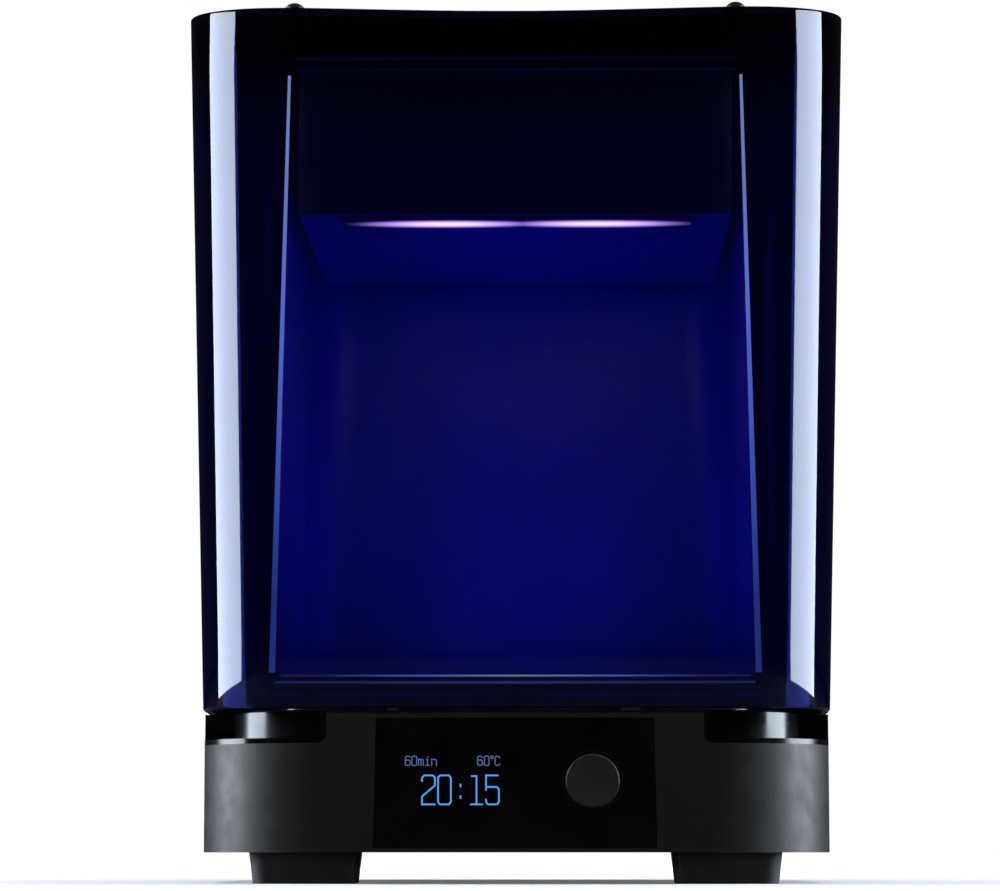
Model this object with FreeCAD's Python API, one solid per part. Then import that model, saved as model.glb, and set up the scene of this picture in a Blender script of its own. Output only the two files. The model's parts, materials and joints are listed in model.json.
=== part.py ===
import FreeCAD, Part
import math
import os

# Desktop ultraviolet curing lamp: a translucent hood with a reflective chamber and a lamp module inside it,
# hinged at the back of a low base that holds the turntable drive, the warm-air unit and the controls.
# Millimetres. +Z is up, the front faces -Y, and the origin is on the floor, under the middle of the body.

V = FreeCAD.Vector
UP = V(0, 0, 1)
BACKWARD = V(0, 1, 0)
RIGHTWARD = V(1, 0, 0)

# ---- driving dimensions ----
HEIGHT = 338.0             # floor to the crests of the hood's front rim
FOOT_HEIGHT = 12.0
BASE_TOP = 66.0
SEAM = 1.2                 # gap between base and hood when closed
BASE_HALF = 124.6          # half the base's width and depth
BASE_DRAFT = 0.1
HOOD_HALF = 125.2          # half the hood's width and depth at its lower edge
HOOD_FLARE = 6.7           # how much further out each hood wall stands at the top
SIDE_BOW = 1600.0          # radius of the slight outward bow of all four sides
CORNER = 48.0              # plan radius of the vertical corners
WALL = 3.0                 # moulded walls
SHEET = 1.5                # sheet-metal parts
RIM_DIP = 2.1              # dip of the hood's top between its left and right crests
CREST_X = 121.0            # where those crests are
TOP_ARCH = 7.8             # rise of the hood's top from its front and back rims to its middle
CLEAR = 0.3                # ordinary gap between neighbouring pieces
RUNNING = 0.05             # radial clearance of a turning fit

HOOD_BOTTOM = BASE_TOP + SEAM
DECK_UNDER = BASE_TOP - WALL
PAN_TOP = FOOT_HEIGHT + SHEET

# lid hinge
HINGE_Y = BASE_HALF
HINGE_Z = BASE_TOP + SEAM / 2
HINGE_X = 60.0
HINGE_WIDTH = 43.0
HINGE_FRONT = 115.5        # the hinge blocks reach through the moulded walls between these two
HINGE_BACK = 123.5
HINGE_GAP = 5.6            # from the axis to the nearer face of each hinge block
HINGE_REACH = 19.5         # and to its far face
KNUCKLE_RADIUS = 5.0
PIN_RADIUS = 2.0

# finger recesses at the two front corners
RECESS_INNER = 74.2        # where a recess ends, from the middle of the front and of the side
RECESS_FLOOR = 55.6
RECESS_DEPTH = 12.0
RECESS_WALL = 2.0

# control panel on the base's front
PANEL_TOP_HALF = 53.0
PANEL_BOTTOM_HALF = 54.0
PANEL_BOTTOM = 13.8
PANEL_TOP = 63.0
PANEL_THICK = 2.0
KNOB_X = 29.6
KNOB_Z = 39.0
KNOB_RADIUS = 10.3
KNOB_RING_RADIUS = 11.8
KNOB_STANDS_OUT = 5.0
ENCODER_SHAFT_RADIUS = 3.0

# chamber inside the hood
WINDOW_BOTTOM = 79.4
WINDOW_TOP = 317.0
WINDOW_BOTTOM_HALF = 93.3
WINDOW_TOP_HALF = 88.0
FRAME_FRONT = -113.5       # the dark flange round the window
FRAME_DEPTH = 5.0
FRAME_WIDTH = 5.5
LINER_BACK = 96.0
LINER_CORNER = 18.0
LAMP_BOTTOM = 260.0
LAMP_HALF = 84.5
LAMP_FRONT = -108.0
LAMP_BACK = 83.0
TOP_PLATE = 326.5

# turntable
TABLE_RADIUS = 91.0
TABLE_TOP = 81.0
TABLE_THICK = 3.0
SHAFT_RADIUS = 3.0
FLOOR_TOP = 72.0
FLOOR_HALF = 92.0
LENS_CIRCLE = 51.0         # radius on which the four floor lamps sit

# control board and rear ports in the base
PORT_Z = 30.0
PORT_BAY_HALF_X = 25.0
PORT_BAY_HALF_Z = 11.5
PORT_X = -55.0
PORT_SURROUND = 4.0        # width of the moulded surround round the port bay
PORT_DEPTH = 2.4           # how far the surround stands out from the plate, behind the wall's outer face
BOARD_Z = 20.0
BOARD_THICK = 1.6

# warm-air unit in the base
DUCT_Y = 73.0
DUCT_HALF_X = 42.0
DUCT_HALF_Y = 12.0
BLOWER_X = 80.0
BLOWER_Y = 50.0
BLOWER_HALF = 30.0
BLOWER_BOTTOM = 34.0
BLOWER_TOP = 54.0


# ---- general shapes ----
def box(x0, x1, y0, y1, z0, z1):
    return Part.makeBox(x1 - x0, y1 - y0, z1 - z0, V(x0, y0, z0))


def round_bar(radius, start, end):
    along = end - start
    return Part.makeCylinder(radius, along.Length, start, along)


def tube(outer, inner, start, end):
    return round_bar(outer, start, end).cut(round_bar(inner, start, end))


def round_box(x0, x1, y0, y1, z0, z1, radius):
    block = box(x0, x1, y0, y1, z0, z1)
    upright = [edge for edge in block.Edges if abs(edge.tangentAt(edge.FirstParameter).z) > 0.9]
    return block.makeFillet(radius, upright)


def joined(shapes):
    return shapes[0].multiFuse(shapes[1:]).removeSplitter()


def mirrored(shape):
    return shape.mirror(V(0, 0, 0), RIGHTWARD)


def save(name, shape):
    shape.exportStep(os.path.join("parts", name + ".step"))


# ---- the body's plan: a square with bowed sides and round corners ----
def outline(half, corner, z):
    bow_centre = SIDE_BOW - half
    corner_centre = (math.sqrt(2 * (SIDE_BOW - corner) ** 2 - bow_centre ** 2) - bow_centre) / 2
    reach = SIDE_BOW / (SIDE_BOW - corner)
    end_x = corner_centre * reach
    end_y = bow_centre - (corner_centre + bow_centre) * reach
    tip = corner_centre + corner / math.sqrt(2)
    edges = []
    for quarter in range(4):
        side = Part.Arc(V(-end_x, end_y, z), V(0, -half, z), V(end_x, end_y, z)).toShape()
        turn = Part.Arc(V(end_x, end_y, z), V(tip, -tip, z), V(-end_y, -end_x, z)).toShape()
        for edge in (side, turn):
            edge.rotate(V(0, 0, 0), UP, 90 * quarter)
            edges.append(edge)
    return Part.Wire(edges)


def hood_half(z):
    return HOOD_HALF + HOOD_FLARE * (z - HOOD_BOTTOM) / (HEIGHT - HOOD_BOTTOM)


def hood_block(inset, z0, z1):
    wires = [outline(hood_half(z) - inset, CORNER - inset, z) for z in (z0, z1)]
    return Part.makeLoft(wires, True, True)


def base_block(inset, z0, z1):
    def at(z):
        draft = BASE_DRAFT * (z - FOOT_HEIGHT) / (BASE_TOP - FOOT_HEIGHT)
        return outline(BASE_HALF - draft - inset, CORNER - inset, z)
    return Part.makeLoft([at(z0), at(z1)], True, True)


def crown(x, y, top):
    """Height of the hood's top, which dips across its width and arches from front to back."""
    dip = RIM_DIP / 2 * (1 + math.cos(math.pi * min(abs(x) / CREST_X, 1.0)))
    arch = TOP_ARCH * (1 - (y / (HOOD_HALF + HOOD_FLARE)) ** 2)
    return top - dip + arch


def above_crown(top):
    """Everything above the hood's curved top, as one block to cut away."""
    reach = 150.0
    steps = 20
    across = [reach * (2 * k / steps - 1) for k in range(steps + 1)]
    surface = Part.BSplineSurface()
    surface.interpolate([[V(x, y, crown(x, y, top)) for y in across] for x in across])
    return surface.toShape().extrude(V(0, 0, 60))


# ---- hinges ----
def hinge_profile(sign):
    """One hinge half in the YZ plane, below the axis for sign -1 and above it for sign 1."""
    points = [
        (HINGE_FRONT, HINGE_Z + sign * HINGE_GAP),
        (HINGE_FRONT, HINGE_Z + sign * HINGE_REACH),
        (HINGE_BACK, HINGE_Z + sign * HINGE_REACH),
        (HINGE_Y + 4.6, HINGE_Z + sign * 2.0),
        (HINGE_Y - 4.6, HINGE_Z - sign * 2.0),
        (HINGE_Y - 4.9, HINGE_Z + sign * HINGE_GAP),
    ]
    return [V(0, y, z) for y, z in points]


def hinge_web(sign, x0, x1):
    points = hinge_profile(sign)
    face = Part.Face(Part.makePolygon(points + [points[0]]))
    web = face.extrude(V(x1 - x0, 0, 0))
    web.translate(V(x0, 0, 0))
    knuckle = round_bar(KNUCKLE_RADIUS, V(x0, HINGE_Y, HINGE_Z), V(x1, HINGE_Y, HINGE_Z))
    return web.fuse(knuckle)


def hinge_foot(sign):
    """The block that fills the pocket in the moulded wall, across the hinge's whole width."""
    half = HINGE_WIDTH / 2
    z0, z1 = sorted((HINGE_Z + sign * HINGE_GAP, HINGE_Z + sign * HINGE_REACH))
    return box(HINGE_X - half, HINGE_X + half, HINGE_FRONT, HINGE_BACK, z0, z1)


def hinge_pocket(sign):
    half = HINGE_WIDTH / 2 + CLEAR
    z0, z1 = sorted((HINGE_Z - sign * 10.0, HINGE_Z + sign * (HINGE_REACH + CLEAR)))
    pocket = box(HINGE_X - half, HINGE_X + half, HINGE_FRONT - CLEAR, 140.0, z0, z1)
    return pocket.fuse(mirrored(pocket))


def hinge_halves():
    third = HINGE_WIDTH / 3
    left = HINGE_X - HINGE_WIDTH / 2
    right = HINGE_X + HINGE_WIDTH / 2
    base_side = joined([
        hinge_foot(-1),
        hinge_web(-1, left, left + third - CLEAR),
        hinge_web(-1, right - third + CLEAR, right),
    ])
    lid_side = hinge_foot(1).fuse(hinge_web(1, left + third, right - third)).removeSplitter()
    pin_start = V(left, HINGE_Y, HINGE_Z)
    pin_end = V(right, HINGE_Y, HINGE_Z)
    pin = round_bar(PIN_RADIUS, pin_start, pin_end)
    base_side = base_side.cut(pin)
    lid_side = lid_side.cut(round_bar(PIN_RADIUS + RUNNING, pin_start, pin_end))
    return base_side, lid_side, pin


def make_hinges():
    base_side, lid_side, pin = hinge_halves()
    save("hinge_bracket_right", base_side)
    save("hinge_bracket_left", mirrored(base_side))
    save("hinge_arm_right", lid_side)
    save("hinge_arm_left", mirrored(lid_side))
    save("hinge_pins", Part.makeCompound([pin, mirrored(pin)]))


# ---- base housing ----
def recess_zone(depth, floor, reach):
    """The band that a finger recess takes out of the right front corner of the base."""
    band = base_block(-8.0, floor, BASE_TOP + 1.0).cut(base_block(depth, floor - 1.0, BASE_TOP + 2.0))
    corner = box(reach, 200.0, -200.0, -reach, floor, BASE_TOP + 1.0)
    ends = []
    for edge in corner.Edges:
        middle = edge.CenterOfMass
        at_floor = abs(middle.z - floor) < 0.1
        at_end = abs(middle.x - reach) < 0.1 or abs(middle.y + reach) < 0.1
        if at_floor and at_end:
            ends.append(edge)
    return band.common(corner.makeFillet(3.5, ends))


def panel_block(gap, thick):
    """The control panel's outline as a block, cut to the bow of the base's front."""
    y0, y1 = -BASE_HALF - 5.0, -BASE_HALF + 10.0
    corners = [
        V(-PANEL_BOTTOM_HALF - gap, y0, PANEL_BOTTOM - gap),
        V(PANEL_BOTTOM_HALF + gap, y0, PANEL_BOTTOM - gap),
        V(PANEL_TOP_HALF + gap, y0, PANEL_TOP + gap),
        V(-PANEL_TOP_HALF - gap, y0, PANEL_TOP + gap),
    ]
    block = Part.Face(Part.makePolygon(corners + [corners[0]])).extrude(V(0, y1 - y0, 0))
    skin = base_block(0.0, FOOT_HEIGHT, BASE_TOP).cut(base_block(thick, FOOT_HEIGHT - 1, BASE_TOP + 1))
    return block.common(skin)


def port_block(grow, y0, y1):
    """A block as wide and high as the rear port bay, grown by grow on its four sides."""
    half_x = PORT_BAY_HALF_X + grow
    half_z = PORT_BAY_HALF_Z + grow
    return box(PORT_X - half_x, PORT_X + half_x, y0, y1, PORT_Z - half_z, PORT_Z + half_z)


def make_base_shell():
    outer = base_block(0.0, FOOT_HEIGHT, BASE_TOP)
    top_edges = [edge for edge in outer.Edges if edge.BoundBox.ZMin > BASE_TOP - 0.1]
    outer = outer.makeFillet(2.5, top_edges)
    shell = outer.cut(base_block(WALL, FOOT_HEIGHT - 1.0, DECK_UNDER))
    recess = recess_zone(RECESS_DEPTH + RECESS_WALL, RECESS_FLOOR - RECESS_WALL, RECESS_INNER - RECESS_WALL)
    deck_opening = round_box(-86.0, 86.0, -86.0, 86.0, DECK_UNDER - 1, BASE_TOP + 1, 10.0)
    display_opening = box(-52.0, 4.0, -140.0, -115.0, 22.0, 58.0)
    encoder_opening = round_bar(KNOB_RING_RADIUS, V(KNOB_X, -140, KNOB_Z), V(KNOB_X, -115, KNOB_Z))
    port_opening = port_block(PORT_SURROUND + CLEAR, 115.0, 140.0)
    cutters = [
        recess,
        mirrored(recess),
        deck_opening,
        panel_block(0.15, PANEL_THICK),
        display_opening,
        encoder_opening,
        port_opening,
        hinge_pocket(-1),
    ]
    for cutter in cutters:
        shell = shell.cut(cutter)
    return shell


def make_recess_liner():
    lined = recess_zone(RECESS_DEPTH + RECESS_WALL, RECESS_FLOOR - RECESS_WALL, RECESS_INNER - RECESS_WALL)
    lined = lined.cut(recess_zone(RECESS_DEPTH, RECESS_FLOOR, RECESS_INNER))
    return lined.common(base_block(0.0, FOOT_HEIGHT, BASE_TOP))


def foot(x, y):
    def ring(z, half_x, half_y):
        block = round_box(x - half_x, x + half_x, y - half_y, y + half_y, z, z + 1, 6.0)
        floor = min(block.Faces, key=lambda face: face.CenterOfMass.z)
        return floor.OuterWire
    body = Part.makeLoft([ring(0.0, 19.8, 18.5), ring(FOOT_HEIGHT, 21.1, 20.0)], True, True)
    screw_hole = round_bar(2.2, V(x, y, -1), V(x, y, FOOT_HEIGHT + 1))
    head_recess = round_bar(5.0, V(x, y, -1), V(x, y, 5.0))
    return body.cut(screw_hole).cut(head_recess)


def foot_places():
    """Name and centre of each foot: the rear pair stands a little wider than the front pair."""
    places = []
    for end, x, y in (("front", 81.6, -91.0), ("rear", 90.5, 88.0)):
        places.append(("foot_" + end + "_left", -x, y))
        places.append(("foot_" + end + "_right", x, y))
    return places


def foot_screw(x, y):
    head = round_bar(4.0, V(x, y, 2.8), V(x, y, 5.0))
    socket = round_bar(1.6, V(x, y, 2.0), V(x, y, 4.0))
    shank = round_bar(2.0, V(x, y, 5.0), V(x, y, 18.0))
    return head.cut(socket).fuse(shank)


def make_base_pan():
    """The steel bottom plate, with the control board's pressed-in posts and the blower's air slots."""
    pan = base_block(WALL + CLEAR, FOOT_HEIGHT, PAN_TOP)
    for _, x, y in foot_places():
        pan = pan.cut(round_bar(2.0, V(x, y, 0), V(x, y, 20)))
    for k in range(9):
        slot_x = BLOWER_X + 5.5 * (k - 4)
        pan = pan.cut(box(slot_x - 1.5, slot_x + 1.5, BLOWER_Y - 15.0, BLOWER_Y + 15.0, 0, 20))
    posts = [tube(2.8, 1.2, V(x, y, PAN_TOP), V(x, y, BOARD_Z)) for x, y in board_post_places()]
    return joined([pan] + posts)


def make_base():
    bosses = [tube(4.0, 2.0, V(x, y, PAN_TOP), V(x, y, DECK_UNDER)) for _, x, y in foot_places()]
    save("base_shell", joined([make_base_shell()] + bosses))
    liner = make_recess_liner()
    save("finger_recess_right", liner)
    save("finger_recess_left", mirrored(liner))
    save("base_pan", make_base_pan())
    for name, x, y in foot_places():
        save(name, foot(x, y))
    save("foot_screws", Part.makeCompound([foot_screw(x, y) for _, x, y in foot_places()]))


def make_seals():
    """The foam seal on the deck and the two rubber rest pads at the front."""
    seal = round_box(-104.0, 104.0, -104.0, 104.0, BASE_TOP, BASE_TOP + 0.8, 16.0)
    seal = seal.cut(round_box(-99.0, 99.0, -99.0, 99.0, BASE_TOP - 1, BASE_TOP + 2, 12.0))
    save("lid_seal", seal)
    pad_height = SEAM - 0.1
    pads = []
    for x0, x1 in ((-48.9, -44.7), (41.0, 47.9)):
        pads.append(box(x0, x1, -122.1, -116.5, BASE_TOP, BASE_TOP + pad_height))
    save("rest_pads", Part.makeCompound(pads))


# ---- control panel ----
def make_controls():
    hole = round_bar(KNOB_RING_RADIUS, V(KNOB_X, -140, KNOB_Z), V(KNOB_X, -110, KNOB_Z))
    save("display_panel", panel_block(0.0, PANEL_THICK).cut(hole))

    front = -BASE_HALF + 0.3
    face = V(KNOB_X, front, KNOB_Z)
    back = V(KNOB_X, front + 4.0, KNOB_Z)
    ring = tube(KNOB_RING_RADIUS - 0.1, KNOB_RADIUS + 0.6, face, back)
    back_plate = tube(KNOB_RING_RADIUS - 0.1, 4.6, back, back + V(0, 1.5, 0))
    save("knob_ring", ring.fuse(back_plate))

    glass_front = -BASE_HALF + PANEL_THICK + 2.0
    board = box(-51.0, 3.0, glass_front + 2.0, glass_front + 3.6, 23.0, 57.0)
    save("display_board", board)
    save("display_screen", box(-47.0, -1.0, glass_front, glass_front + 2.0, 26.0, 54.0))

    encoder_front = back.y + 1.5
    encoder_back = encoder_front + 9.0
    case = box(KNOB_X - 6.5, KNOB_X + 6.5, encoder_front, encoder_back, KNOB_Z - 6.5, KNOB_Z + 6.5)
    bush = round_bar(4.5, V(KNOB_X, encoder_front - 2.0, KNOB_Z), V(KNOB_X, encoder_front, KNOB_Z))
    bore_radius = ENCODER_SHAFT_RADIUS + RUNNING
    bore = round_bar(bore_radius, V(KNOB_X, -140, KNOB_Z), V(KNOB_X, encoder_front + 5.0, KNOB_Z))
    chamber = round_bar(4.5, V(KNOB_X, encoder_front + 3.5, KNOB_Z), V(KNOB_X, encoder_front + 7.5, KNOB_Z))
    board_back = encoder_back + BOARD_THICK
    board = box(KNOB_X - 11.0, KNOB_X + 11.0, encoder_back, board_back, KNOB_Z - 14.0, KNOB_Z + 14.0)
    save("encoder_body", joined([case, bush, board]).cut(bore).cut(chamber))

    plunger_front = encoder_front + 4.6
    plunger_back = V(KNOB_X, plunger_front + 1.4, KNOB_Z)
    save("encoder_plunger", round_bar(4.0, V(KNOB_X, plunger_front, KNOB_Z), plunger_back))

    knob_face = -BASE_HALF - KNOB_STANDS_OUT
    shaft_end = V(KNOB_X, plunger_front, KNOB_Z)
    shaft = round_bar(ENCODER_SHAFT_RADIUS, V(KNOB_X, knob_face + 3.0, KNOB_Z), shaft_end)
    save("encoder_shaft", shaft)
    cap = round_bar(KNOB_RADIUS, V(KNOB_X, knob_face, KNOB_Z), V(KNOB_X, front + 2.6, KNOB_Z))
    rims = [edge for edge in cap.Edges if abs(edge.BoundBox.YMax - knob_face) < 0.01]
    cap = cap.makeFillet(0.8, rims)
    dish = Part.makeSphere(90.0, V(KNOB_X, knob_face - 90.0 + 0.45, KNOB_Z))
    save("knob_cap", cap.cut(dish).cut(shaft))


# ---- electronics ----
def board_post_places():
    return [(x, y) for x in (-48.0, 30.0) for y in (-102.0, -56.0)]


def make_electronics():
    board_top = BOARD_Z + BOARD_THICK
    board = box(-52.0, 34.0, -106.0, -52.0, BOARD_Z, board_top)
    screws = []
    for x, y in board_post_places():
        board = board.cut(round_bar(1.2, V(x, y, 0), V(x, y, 30)))
        head = round_bar(2.4, V(x, y, board_top), V(x, y, board_top + 1.6))
        screws.append(head.fuse(round_bar(1.2, V(x, y, BOARD_Z - 4), V(x, y, board_top))))
    chips = [box(-20.0, -6.0, -88.0, -74.0, board_top, board_top + 1.6),
             box(10.0, 20.0, -84.0, -74.0, board_top, board_top + 1.6)]
    cans = []
    for k in range(3):
        foot_point = V(-40.0 + 10.0 * k, -66.0, board_top)
        cans.append(round_bar(4.0, foot_point, foot_point + V(0, 0, 9.0)))
    relay = box(15.0, 27.0, -98.0, -86.0, board_top, board_top + 11.0)
    save("control_board", joined([board, relay] + chips + cans))
    save("board_screws", Part.makeCompound(screws))

    make_ports()
    save("lid_sensor", box(-8.0, 8.0, -120.5, -106.5, DECK_UNDER - 3.0, DECK_UNDER))


def make_ports():
    """The rear port plate and its surround, with the low-voltage inlet and the service socket behind it."""
    face = BASE_HALF - 6.2
    surround = port_block(PORT_SURROUND, face - SHEET, face + PORT_DEPTH)
    plate = surround.cut(port_block(0.0, face, face + PORT_DEPTH + 1))
    inlet_centre = V(-66.0, 0, PORT_Z)

    def inlet_bar(radius, y0, y1):
        return round_bar(radius, inlet_centre + V(0, y0, 0), inlet_centre + V(0, y1, 0))

    usb_hole = box(-50.0, -36.0, 100.0, 140.0, PORT_Z - 6.0, PORT_Z + 6.0)
    save("port_plate", plate.cut(inlet_bar(5.6, 100, 140)).cut(usb_hole))
    block = box(-73.0, -59.0, face - SHEET - 14.0, face - SHEET, PORT_Z - 7.0, PORT_Z + 7.0)
    barrel = block.fuse(inlet_bar(5.5, face - 5, face + 0.5)).cut(inlet_bar(3.4, face - 10, face + 5))
    save("power_inlet", barrel.fuse(inlet_bar(1.1, face - 12, face - 1)))
    usb = box(-49.8, -36.2, face - 16.0, face + 0.4, PORT_Z - 5.8, PORT_Z + 5.8)
    usb = usb.cut(box(-48.6, -37.4, face - 11.0, face + 5.0, PORT_Z - 4.6, PORT_Z + 4.6))
    tongue = box(-46.0, -40.0, face - 12.0, face - 2.0, PORT_Z - 1.4, PORT_Z + 1.4)
    save("usb_socket", usb.fuse(tongue))


# ---- turntable and its drive ----
def make_turntable():
    floor = round_box(-FLOOR_HALF, FLOOR_HALF, -FLOOR_HALF, FLOOR_HALF, BASE_TOP, FLOOR_TOP, 14.0)
    inside = round_box(-FLOOR_HALF + SHEET, FLOOR_HALF - SHEET, -FLOOR_HALF + SHEET, FLOOR_HALF - SHEET,
                       BASE_TOP - 1, FLOOR_TOP - SHEET, 12.5)
    floor = floor.cut(inside).cut(round_bar(7.0, V(0, 0, 60), V(0, 0, 80)))
    for x, y in lens_places():
        floor = floor.cut(round_bar(7.0, V(x, y, 60), V(x, y, 80)))
    for k in range(11):
        slot_x = 7.0 * (k - 5)
        floor = floor.cut(box(slot_x - 1.6, slot_x + 1.6, DUCT_Y - 8.0, DUCT_Y + 8.0, 60, 80))
    save("chamber_floor", floor)

    under = FLOOR_TOP - SHEET
    bush = tube(7.0, SHAFT_RADIUS + RUNNING, V(0, 0, 64.0), V(0, 0, FLOOR_TOP + 1.5))
    collar = tube(10.0, SHAFT_RADIUS + RUNNING, V(0, 0, under - 2.0), V(0, 0, under))
    save("turntable_bush", bush.fuse(collar))

    bracket_top = 57.0
    plate = box(-28.0, 28.0, -20.0, 20.0, bracket_top, bracket_top + 2.0)
    tabs = []
    for side in (-1, 1):
        inner, outer = sorted((side * 26.0, side * 28.0))
        tabs.append(box(inner, outer, -20.0, 20.0, bracket_top, under))
        start, end = sorted((side * 28.0, side * 37.0))
        tabs.append(box(start, end, -20.0, 20.0, under - SHEET, under))
    bracket = joined([plate] + tabs).cut(round_bar(6.2, V(0, 0, 50), V(0, 0, 62)))

    gearbox = round_bar(18.5, V(0, 0, 38.0), V(0, 0, bracket_top))
    motor = round_bar(17.5, V(0, 0, 16.0), V(0, 0, 38.0))
    boss = round_bar(6.0, V(0, 0, bracket_top), V(0, 0, 61.0))
    shaft_bore = round_bar(SHAFT_RADIUS + RUNNING, V(0, 0, 50.0 - RUNNING), V(0, 0, 70.0))
    drive = joined([gearbox, motor, boss]).cut(shaft_bore)
    screws = []
    for x in (-13.0, 13.0):
        shank = round_bar(1.5, V(x, 0, bracket_top - 6.0), V(x, 0, bracket_top + 2.0))
        screws.append(shank.fuse(round_bar(2.7, V(x, 0, bracket_top + 2.0), V(x, 0, bracket_top + 4.0))))
    for screw in screws:
        drive = drive.cut(screw)
        bracket = bracket.cut(screw)
    save("drive_motor", drive)
    save("motor_bracket", bracket)
    save("motor_screws", Part.makeCompound(screws))

    shaft = round_bar(SHAFT_RADIUS, V(0, 0, 50.0), V(0, 0, TABLE_TOP))
    hub = round_bar(20.0, V(0, 0, FLOOR_TOP + 2.2), V(0, 0, TABLE_TOP - TABLE_THICK)).cut(shaft)
    table = round_bar(TABLE_RADIUS, V(0, 0, TABLE_TOP - TABLE_THICK), V(0, 0, TABLE_TOP)).cut(shaft)
    rims = [edge for edge in table.Edges if edge.BoundBox.XLength > TABLE_RADIUS]
    save("turntable_shaft", shaft)
    save("turntable_hub", hub)
    save("turntable_plate", table.makeFillet(1.0, rims))
    cap = round_bar(7.0, V(0, 0, TABLE_TOP), V(0, 0, TABLE_TOP + 2.0))
    cap_rim = [edge for edge in cap.Edges if edge.BoundBox.ZMin > TABLE_TOP + 1.9]
    save("turntable_cap", cap.makeFillet(0.8, cap_rim))


def lens_places():
    spots = []
    for k in range(4):
        angle = math.radians(45 + 90 * k)
        spots.append((LENS_CIRCLE * math.cos(angle), LENS_CIRCLE * math.sin(angle)))
    return spots


def led_lens(x, y, z, sign, radius):
    """A moulded dome lens on its board at height z, facing up for sign 1 and down for sign -1."""
    flange = round_bar(radius, V(x, y, z), V(x, y, z + sign * 1.4))
    dome_radius = radius - 0.6
    dome = Part.makeSphere(dome_radius, V(x, y, z + sign * 1.4))
    keep = box(x - radius, x + radius, y - radius, y + radius, *sorted((z + sign * 1.4, z + sign * 20)))
    dome = dome.common(keep)
    squash = FreeCAD.Matrix()
    squash.move(V(0, 0, -z - sign * 1.4))
    squash.scale(V(1, 1, 0.6))
    squash.move(V(0, 0, z + sign * 1.4))
    return flange.fuse(dome.transformGeometry(squash))


def make_floor_light():
    board_z = 66.4
    board = tube(60.5, 42.6, V(0, 0, board_z), V(0, 0, board_z + 1.6))
    save("floor_led_board", board)
    lenses = [led_lens(x, y, board_z + 1.6, 1, 6.4) for x, y in lens_places()]
    save("floor_led_lenses", Part.makeCompound(lenses))


# ---- warm air ----
def air_passage(x0, x1):
    """The opening through which the blower's spout feeds the duct."""
    return box(x0, x1, DUCT_Y - 10.0, DUCT_Y + 1.0, BLOWER_BOTTOM + 4, BLOWER_TOP - 4)


def make_warm_air():
    duct_bottom = 36.0
    duct_top = FLOOR_TOP - SHEET
    duct = box(-DUCT_HALF_X, DUCT_HALF_X, DUCT_Y - DUCT_HALF_Y, DUCT_Y + DUCT_HALF_Y, duct_bottom, duct_top)
    hollow = box(-DUCT_HALF_X + SHEET, DUCT_HALF_X - SHEET, DUCT_Y - DUCT_HALF_Y + SHEET,
                 DUCT_Y + DUCT_HALF_Y - SHEET, duct_bottom + SHEET, duct_top + 1)
    entry = air_passage(DUCT_HALF_X - 5, DUCT_HALF_X + 5)
    save("air_duct", duct.cut(hollow).cut(entry))
    core = box(-30.0, 30.0, DUCT_Y - 9.0, DUCT_Y + 9.0, 56.0, 64.0)
    for k in range(14):
        fin_x = -27.0 + 4.0 * k
        core = core.cut(box(fin_x, fin_x + 2.4, DUCT_Y - 7.5, DUCT_Y + 7.5, 50.0, 70.0))
    clamps = box(-DUCT_HALF_X + SHEET, DUCT_HALF_X - SHEET, DUCT_Y - 10.4, DUCT_Y - 9.0, 57.0, 63.0)
    save("heater_core", core.fuse(clamps))

    left = BLOWER_X - BLOWER_HALF
    right = BLOWER_X + BLOWER_HALF
    front = BLOWER_Y - BLOWER_HALF
    back = BLOWER_Y + BLOWER_HALF
    case = round_box(left, right, front, back, BLOWER_BOTTOM, BLOWER_TOP, 5.0)
    scroll = round_bar(25.0, V(BLOWER_X, BLOWER_Y, BLOWER_BOTTOM + 2), V(BLOWER_X, BLOWER_Y, BLOWER_TOP - 2))
    eye = round_bar(17.0, V(BLOWER_X, BLOWER_Y, BLOWER_BOTTOM - 1), V(BLOWER_X, BLOWER_Y, BLOWER_BOTTOM + 3))
    spout = air_passage(left - 1, BLOWER_X)
    legs = []
    for x in (left + 4.0, right - 4.0):
        for y in (front + 4.0, back - 4.0):
            legs.append(round_bar(2.5, V(x, y, PAN_TOP), V(x, y, BLOWER_BOTTOM)))
    save("blower_case", joined([case] + legs).cut(scroll).cut(eye).cut(spout))
    rotor = rotor_shape(V(BLOWER_X, BLOWER_Y, BLOWER_BOTTOM + 4), 12.0, 21.0, 17.0, 24)
    save("blower_rotor", rotor)


def rotor_shape(centre, height, outer, inner, blades):
    """A drum impeller: hub, back disc, thin blades and a rim ring, turning about a vertical axis."""
    top = centre + V(0, 0, height)
    hub = round_bar(9.0, centre + V(0, 0, 1.5), top)
    disc = round_bar(outer, top - V(0, 0, 1.2), top)
    ring = tube(outer, outer - 1.0, centre, centre + V(0, 0, 1.5))
    pieces = [hub, disc, ring]
    for k in range(blades):
        blade = box(inner, outer - 0.2, -0.4, 0.4, 0, height - 0.6)
        blade.rotate(V(inner, 0, 0), UP, 25)
        blade.rotate(V(0, 0, 0), UP, 360.0 * k / blades)
        blade.translate(centre)
        pieces.append(blade)
    return joined(pieces).common(round_bar(outer, centre, top))


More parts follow.
